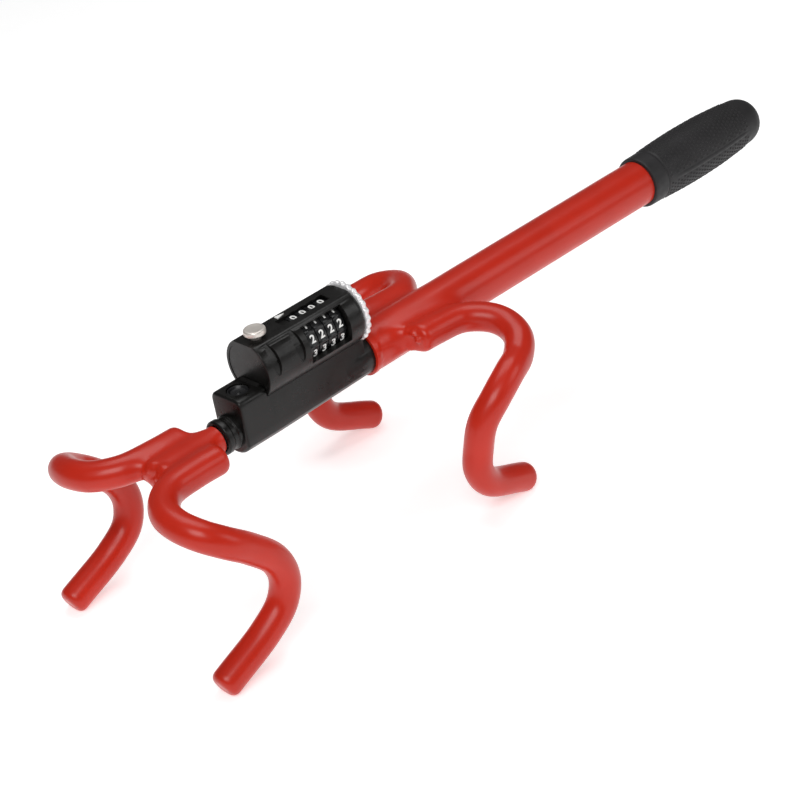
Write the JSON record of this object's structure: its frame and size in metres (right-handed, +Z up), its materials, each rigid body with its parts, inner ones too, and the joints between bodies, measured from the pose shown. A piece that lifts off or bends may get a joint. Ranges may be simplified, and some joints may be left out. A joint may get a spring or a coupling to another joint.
{
  "type": "steering wheel lock",
  "caption": "Telescoping steering wheel lock: red hooked tube and sliding hooked rod, black dial lock head, push knob, knurled ring and black rubber grip.",
  "frame": {"origin": "middle of the footprint, on the surface that the four hook tips stand on", "axes": "+X along the tube towards the grip, +Z up out of the flat top of the dial head, +Y to the left seen looking from the front hooks towards the grip, so the dial window faces -Y, to the right"},
  "size_m": [0.6014, 0.1896, 0.1646],
  "materials": {
    "red_paint": "gloss red enamel on steel tube",
    "red_vinyl": "thick gloss red dip coating on steel bar",
    "black_paint": "semi-gloss black coating on zinc casting",
    "black_plastic": "satin",
    "dial_black": "gloss black with white digits",
    "rubber": "matt, raised dots",
    "steel": "turned, lightly oiled",
    "chrome": "bright plated",
    "brass": "turned",
    "nylon": "natural moulded",
    "white_mark": "printed white"
  },
  "bodies": {
    "lock_frame": {"main_tube": "red_paint", "rubber_grip": "rubber", "tube_end_plug": "black_plastic", "rear_hook_left": "red_vinyl", "rear_weld_left": "red_vinyl", "rear_hook_right": "red_vinyl", "rear_weld_right": "red_vinyl", "lock_body": "black_paint", "body_cross_pin": "steel", "guide_ferrule": "black_paint", "ferrule_grub_screw": "steel", "ledge_plug": "black_plastic", "rear_guide_bush": "nylon", "dial_housing": "black_paint", "housing_dowel_left": "steel", "housing_dowel_right": "steel", "dial_end_plate": "black_plastic", "dial_detent_spring": "steel", "index_arrow": "white_mark", "bolt_spring": "steel"},
    "sliding_rod": {"slide_rod": "steel", "rod_vinyl_sleeve": "red_vinyl", "rod_stop_collar": "steel", "rod_stop_screw": "steel", "front_hook_left": "red_vinyl", "front_weld_left": "red_vinyl", "front_hook_right": "red_vinyl", "front_weld_right": "red_vinyl"},
    "release": {"release_knob": "chrome", "lock_bolt": "steel"},
    "dial_1": {"dial_wheel_1": "dial_black", "code_sleeve_1": "brass"},
    "dial_2": {"dial_wheel_2": "dial_black", "code_sleeve_2": "brass"},
    "dial_3": {"dial_wheel_3": "dial_black", "code_sleeve_3": "brass"},
    "dial_4": {"dial_wheel_4": "dial_black", "code_sleeve_4": "brass"},
    "ring": {"turn_ring": "chrome", "dial_spindle": "steel", "ring_screw": "steel"}
  },
  "joints": [
    {"name": "rod_slide", "type": "slide", "parent": "lock_frame", "child": "sliding_rod", "axis": [-1, 0, 0], "range_m": [0, 0.144]},
    {"name": "knob_press", "type": "slide", "parent": "lock_frame", "child": "release", "axis": [0, 0, -1], "range_m": [0, 0.0021], "stiffness_N_per_m": 300, "springref_m": -0.003, "deforming": ["bolt_spring"]},
    {"name": "dial_1_turn", "type": "hinge", "parent": "lock_frame", "child": "dial_1", "pos_m": [-0.13795, 0, 0.1407], "axis": [1, 0, 0], "continuous": true},
    {"name": "dial_2_turn", "type": "hinge", "parent": "lock_frame", "child": "dial_2", "pos_m": [-0.13032, 0, 0.1407], "axis": [1, 0, 0], "continuous": true},
    {"name": "dial_3_turn", "type": "hinge", "parent": "lock_frame", "child": "dial_3", "pos_m": [-0.12269, 0, 0.1407], "axis": [1, 0, 0], "continuous": true},
    {"name": "dial_4_turn", "type": "hinge", "parent": "lock_frame", "child": "dial_4", "pos_m": [-0.11506, 0, 0.1407], "axis": [1, 0, 0], "continuous": true},
    {"name": "ring_turn", "type": "hinge", "parent": "lock_frame", "child": "ring", "pos_m": [-0.09595, 0, 0.1407], "axis": [1, 0, 0], "range_deg": [0, 90]}
  ]
}
